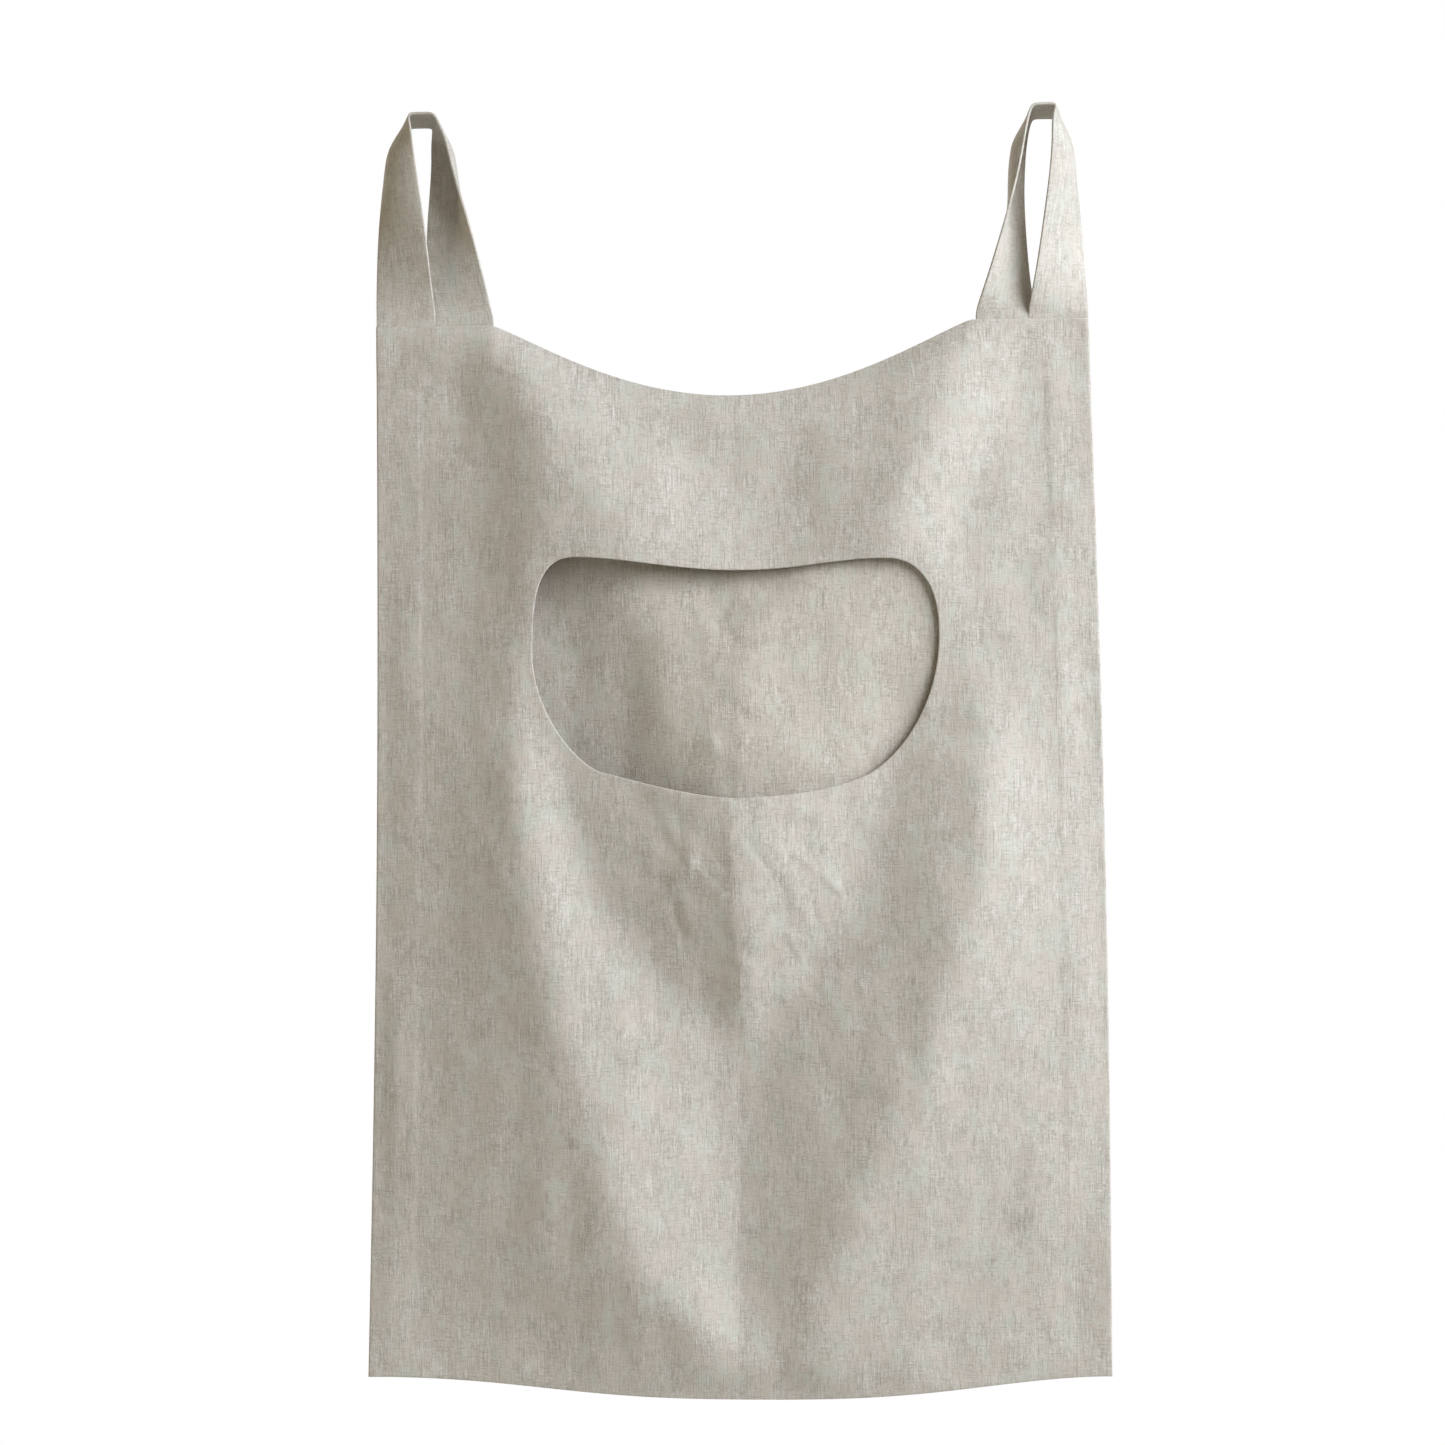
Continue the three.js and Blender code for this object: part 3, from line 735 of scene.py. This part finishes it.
def seam_stitches():
    """The rows of the four seams, between the allowances, and the understitching of the mouth."""
    made = {}
    v = np.linspace(0.01, 0.99, 200)
    for side, sign in (("left", -1), ("right", 1)):
        x = sign * (half_width(v) - SEAM_INSET) + sway(v)
        z = TOP_Z + (BOTTOM_Z - TOP_Z) * v
        made[f"{side}_seam"] = stitches(f"{side}_seam_stitches", np.stack([x, seam_plane(x, z), z], 1))
    x = np.linspace(-STRAP_BASES[0] + 2, STRAP_BASES[0] - 2, 120)
    made["top_seam"] = stitches("top_seam_stitches", np.stack([x, 0 * x, top_edge(x) - SEAM_INSET], 1))
    x = np.linspace(-BOTTOM_HALF + 6, BOTTOM_HALF - 6, 160)
    z = bottom_edge(x) + SEAM_INSET
    made["bottom_seam"] = stitches("bottom_seam_stitches", np.stack([x, seam_plane(x, z), z], 1))
    offsets = MOUTH - MOUTH_CENTRE
    ring = MOUTH_CENTRE + offsets * (1 + 4.5 / np.hypot(*offsets.T))[:, None]
    y = front_y(ring[:, 0], ring[:, 1], FACING_DEPTH + 1.5 * CLOTH + 0.25)
    line = np.stack([ring[:, 0], y, ring[:, 1]], 1)
    made["mouth"] = stitches("mouth_understitching", line, 2.2, 0.8)
    return made


# ---------------------------------------------------------------- linen
class ClothNodes:
    """The shader nodes of a cloth, laid out over its flat coordinates. Sizes are in millimetres."""

    def __init__(self, material):
        self.nodes, self.links = material.node_tree.nodes, material.node_tree.links
        self.nodes.clear()
        self.place = self.nodes.new("ShaderNodeUVMap")
        self.place.uv_map = "cloth"

    def feed(self, slot, value):
        """Sets a number or colour on an input, or links another node's output to it."""
        if isinstance(value, (int, float, tuple)):
            slot.default_value = value
        else:
            self.links.new(value, slot)

    def noise(self, across, up, detail=2.0, rough=0.5):
        mapping = self.nodes.new("ShaderNodeMapping")
        mapping.inputs["Scale"].default_value = (1000 / across, 1000 / up, 1)
        self.links.new(self.place.outputs[0], mapping.inputs[0])
        texture = self.nodes.new("ShaderNodeTexNoise")
        texture.noise_dimensions = "2D"
        texture.inputs["Scale"].default_value = 1.0
        texture.inputs["Detail"].default_value = detail
        texture.inputs["Roughness"].default_value = rough
        self.links.new(mapping.outputs[0], texture.inputs["Vector"])
        return texture.outputs["Fac"]

    def calc(self, kind, a, b=0.0):
        node = self.nodes.new("ShaderNodeMath")
        node.operation = kind
        for slot, value in zip(node.inputs, (a, b)):
            self.feed(slot, value)
        return node.outputs[0]

    def ramp(self, value, low, high):
        node = self.nodes.new("ShaderNodeMapRange")
        node.inputs["From Min"].default_value = low
        node.inputs["From Max"].default_value = high
        self.links.new(value, node.inputs["Value"])
        return node.outputs["Result"]

    def mix(self, factor, a, b):
        node = self.nodes.new("ShaderNodeMix")
        node.data_type = "RGBA"
        for name, value in (("Factor", factor), ("A", a), ("B", b)):
            self.feed(node.inputs[name], value)
        return node.outputs["Result"]

    def yarns(self, pitch, axis):
        """One set of parallel yarns, as waves across them, bent a little by noise."""
        split = self.nodes.new("ShaderNodeSeparateXYZ")
        self.links.new(self.place.outputs[0], split.inputs[0])
        drift = self.calc("MULTIPLY", self.noise(9, 9, 1.0), 0.9)
        turned = self.calc("ADD", self.calc("MULTIPLY", split.outputs[axis], 1000 / pitch), drift)
        return self.calc("SINE", self.calc("MULTIPLY", turned, 2 * math.pi))

    def total(self, *weighted):
        """The weighted sum of noises about their middle, as (noise, weight) pairs."""
        result = None
        for value, weight in weighted:
            centred = self.calc("MULTIPLY", self.calc("SUBTRACT", value, 0.5), weight)
            result = centred if result is None else self.calc("ADD", result, centred)
        return result


TONE_REACH = 0.44  # how uneven the yarns are before the colour stops changing
GREEN_SHARE = (0.86, 0.93, 0.89)
SLUB_DARKNESS = 0.75


def tinted(colour, shares):
    return tuple(c * k for c, k in zip(colour[:3], shares)) + (1,)


def linen(name, light, dark, warm, streak=1.0):
    """Washed plain-weave linen: yarns both ways, slubs, streaks of uneven yarn and soft mottling."""
    material = bpy.data.materials.new(name)
    material.use_nodes = True
    cloth = ClothNodes(material)
    nodes, links = cloth.nodes, cloth.links
    output = nodes.new("ShaderNodeOutputMaterial")
    shader = nodes.new("ShaderNodeBsdfPrincipled")
    shader.inputs["Specular IOR Level"].default_value = 0.25
    shader.inputs["Sheen Weight"].default_value = 0.12
    shader.inputs["Sheen Roughness"].default_value = 0.45
    links.new(shader.outputs[0], output.inputs[0])

    weave = cloth.calc("MULTIPLY", cloth.yarns(0.78, "X"), cloth.yarns(0.84, "Y"))
    streaks = cloth.total(
        (cloth.noise(1.0, 26, 2.0, 0.6), 1.15),
        (cloth.noise(13, 1.1, 2.0, 0.6), 0.6),
        (cloth.noise(0.6, 7, 1.0), 0.9),
        (cloth.noise(4, 0.6, 1.0), 0.55),
        (cloth.noise(1.5, 1.9, 2.0, 0.6), 1.0),
    )
    cloud = cloth.noise(6, 10, 3.0, 0.65)
    pink = cloth.ramp(cloth.noise(18, 28, 3.0, 0.65), 0.42, 0.62)
    blotches = cloth.total((cloth.noise(19, 27, 3.0, 0.6), 1.0), (cloth.noise(5, 11, 2.0), 0.5))
    spots = cloth.ramp(blotches, 0.02, 0.22)
    slub_warp = cloth.ramp(cloth.noise(1.3, 12, 0.0), 0.66, 0.76)
    slub_weft = cloth.ramp(cloth.noise(8, 1.2, 0.0), 0.68, 0.78)
    slubs = cloth.calc("MAXIMUM", slub_warp, slub_weft)

    uneven = cloth.calc("ADD", streaks, cloth.total((cloud, 0.9)))
    colour = cloth.mix(cloth.ramp(uneven, -TONE_REACH / streak, TONE_REACH / streak), dark, light)
    colour = cloth.mix(cloth.calc("MULTIPLY", pink, 0.62), colour, warm)
    colour = cloth.mix(cloth.calc("MULTIPLY", spots, 0.6), colour, tinted(light, GREEN_SHARE))
    colour = cloth.mix(cloth.calc("MULTIPLY", slubs, 0.25), colour, tinted(dark, (SLUB_DARKNESS,) * 3))
    links.new(colour, shader.inputs["Base Color"])

    height = cloth.calc("ADD", cloth.calc("MULTIPLY", weave, 0.28), cloth.calc("MULTIPLY", streaks, 0.45))
    height = cloth.calc("ADD", height, cloth.calc("MULTIPLY", slubs, 0.5))
    height = cloth.calc("ADD", height, cloth.calc("MULTIPLY", cloud, 1.2))
    bump = nodes.new("ShaderNodeBump")
    bump.inputs["Strength"].default_value = 0.55
    bump.inputs["Distance"].default_value = 0.0004
    links.new(height, bump.inputs["Height"])
    links.new(bump.outputs[0], shader.inputs["Normal"])
    rough = nodes.new("ShaderNodeMapRange")
    rough.inputs["To Min"].default_value = 0.82
    rough.inputs["To Max"].default_value = 0.96
    links.new(pink, rough.inputs["Value"])
    links.new(rough.outputs["Result"], shader.inputs["Roughness"])
    return material


def thread_material():
    """Spun sewing thread, with a fine twist."""
    material = bpy.data.materials.new("linen_thread")
    material.use_nodes = True
    nodes, links = material.node_tree.nodes, material.node_tree.links
    shader = nodes["Principled BSDF"]
    shader.inputs["Roughness"].default_value = 0.75
    shader.inputs["Sheen Weight"].default_value = 0.1
    wave = nodes.new("ShaderNodeTexWave")
    wave.inputs["Scale"].default_value = 900
    wave.inputs["Distortion"].default_value = 1.0
    where = nodes.new("ShaderNodeTexCoord")
    links.new(where.outputs["Object"], wave.inputs["Vector"])
    tint = nodes.new("ShaderNodeValToRGB")
    tint.color_ramp.elements[0].color = (0.30, 0.275, 0.235, 1)
    tint.color_ramp.elements[1].color = (0.46, 0.43, 0.38, 1)
    links.new(wave.outputs["Fac"], tint.inputs["Fac"])
    links.new(tint.outputs["Color"], shader.inputs["Base Color"])
    return material


LIGHT, DARK, WARM = (0.66, 0.644, 0.608, 1), (0.425, 0.4, 0.35, 1), (0.58, 0.536, 0.484, 1)
# The inside's yarn colours are the outside's warmed a little: painted warm bounce light, as between the
# panels inside the bag.
INNER_LIGHT_PAINTED_BOUNCE, INNER_DARK_PAINTED_BOUNCE = (0.668, 0.643, 0.594, 1), (0.428, 0.396, 0.336, 1)


def give(obj, material):
    obj.data.materials.clear()
    obj.data.materials.append(material)


def build_bag():
    """Every piece with its material and the CAD nodes that it replaces; all but the straps join the bag's
    body.
    """
    outside = linen("washed_linen", LIGHT, DARK, WARM)
    # a warmer copy of the linen for the inside pieces: painted warm bounce light
    inside = linen("washed_linen_inside_painted_bounce", INNER_LIGHT_PAINTED_BOUNCE, INNER_DARK_PAINTED_BOUNCE, WARM, 1.1)
    strap_cloth = linen("washed_linen_strap", LIGHT, DARK, WARM)
    thread = thread_material()

    front, back = front_panel(), back_panel()
    facing, margins = mouth_facing(), allowances()
    for obj, material, slot, node in (
        (front, outside, "front_linen", "front_panel"),
        (back, inside, "back_linen", "back_panel"),
        (facing, inside, "inner_linen", "mouth_facing"),
    ):
        give(obj, material)
        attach(obj, "bag")
        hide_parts(node)
    for place, obj in margins.items():
        give(obj, inside)
        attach(obj, "bag")
        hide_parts(f"{place}_allowance")
    for place, obj in seam_stitches().items():
        give(obj, thread)
        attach(obj, "bag")
        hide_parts(f"{place}_thread")
    straps = {}
    for side in ("left", "right"):
        obj = straps[side] = strap(side)
        give(obj, strap_cloth)
        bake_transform(obj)
        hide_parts(f"{side}_strap", f"{side}_outer_strap_tail", f"{side}_inner_strap_tail")


# ---------------------------------------------------------------- studio
BAG_MIDDLE = (0, 0, -0.45)
# each light's place and size in metres, its power in watts and its colour
LIGHTS = {
    "key": ((1.74, -1.17, 0.5), (2.3, 1.7), 84, (0.955, 0.985, 1.04)),
    "left_fill": ((-2.0, -0.5, 0.1), (0.8, 1.6), 8, (1, 0.87, 0.66)),
    "rear": ((-1.2, 2.2, 0.6), (1.6, 1.6), 45, (1, 0.97, 0.93)),
    "front_fill": ((0.1, -2.4, -0.4), (0.72, 0.72), 3.5, (1, 0.84, 0.58)),
}
ROOM_COLOUR, ROOM_LIGHT = (1, 0.84, 0.56, 1), 0.11
FLOOR_Z, FLOOR_RADIUS = -1.62, 2.1  # as far below as a bag hangs on a door
LENS, SENSOR = 59.04, 36
EYE = (0.0405, -1.6, -0.4095)
YAW, PITCH, ROLL = 0.0301, -0.0002, 0.0077


def area_light(name, place, size, power, colour):
    data = bpy.data.lights.new(name, "AREA")
    data.shape = "RECTANGLE"
    data.size, data.size_y = size
    data.energy = power
    data.color = colour
    obj = bpy.data.objects.new(name, data)
    obj.location = place
    obj.rotation_euler = (Vector(BAG_MIDDLE) - Vector(place)).to_track_quat("-Z", "Y").to_euler()
    bpy.context.scene.collection.objects.link(obj)


def room():
    """A white room to the camera, and a dim warm one to everything that it lights."""
    world = bpy.data.worlds.new("studio")
    bpy.context.scene.world = world
    world.use_nodes = True
    nodes, links = world.node_tree.nodes, world.node_tree.links
    shown = nodes["Background"]
    shown.inputs[0].default_value = (1, 1, 1, 1)
    shown.inputs[1].default_value = 1.0
    lit = nodes.new("ShaderNodeBackground")
    lit.inputs[0].default_value = ROOM_COLOUR
    lit.inputs[1].default_value = ROOM_LIGHT
    path, blend = nodes.new("ShaderNodeLightPath"), nodes.new("ShaderNodeMixShader")
    links.new(path.outputs["Is Camera Ray"], blend.inputs[0])
    links.new(lit.outputs[0], blend.inputs[1])
    links.new(shown.outputs[0], blend.inputs[2])
    links.new(blend.outputs[0], nodes["World Output"].inputs[0])


def floor():
    """A round pale floor."""
    turns = np.linspace(0, 2 * math.pi, 96, endpoint=False)
    ring = [(FLOOR_RADIUS * math.cos(a), FLOOR_RADIUS * math.sin(a), FLOOR_Z) for a in turns]
    mesh = bpy.data.meshes.new("floor")
    mesh.from_pydata(ring, [], [list(range(len(ring)))])
    obj = bpy.data.objects.new("floor", mesh)
    bpy.context.scene.collection.objects.link(obj)
    pale = bpy.data.materials.new("pale_floor")
    pale.use_nodes = True
    shader = pale.node_tree.nodes["Principled BSDF"]
    shader.inputs["Base Color"].default_value = (0.82, 0.81, 0.79, 1)
    shader.inputs["Roughness"].default_value = 0.8
    obj.data.materials.append(pale)


def studio():
    for name, (place, size, power, colour) in LIGHTS.items():
        area_light(name, place, size, power, colour)
    room()
    floor()
    bpy.context.scene.view_settings.view_transform = "Standard"


def camera():
    data = bpy.data.cameras.new("camera")
    data.lens = LENS
    data.sensor_width = SENSOR
    obj = bpy.data.objects.new("camera", data)
    obj.location = EYE
    level = Matrix.Rotation(YAW, 3, "Z") @ Matrix.Rotation(math.pi / 2 + PITCH, 3, "X")
    obj.rotation_euler = (level @ Matrix.Rotation(-ROLL, 3, "Z")).to_euler()
    bpy.context.scene.collection.objects.link(obj)
    bpy.context.scene.camera = obj


camera()
studio()
build_bag()
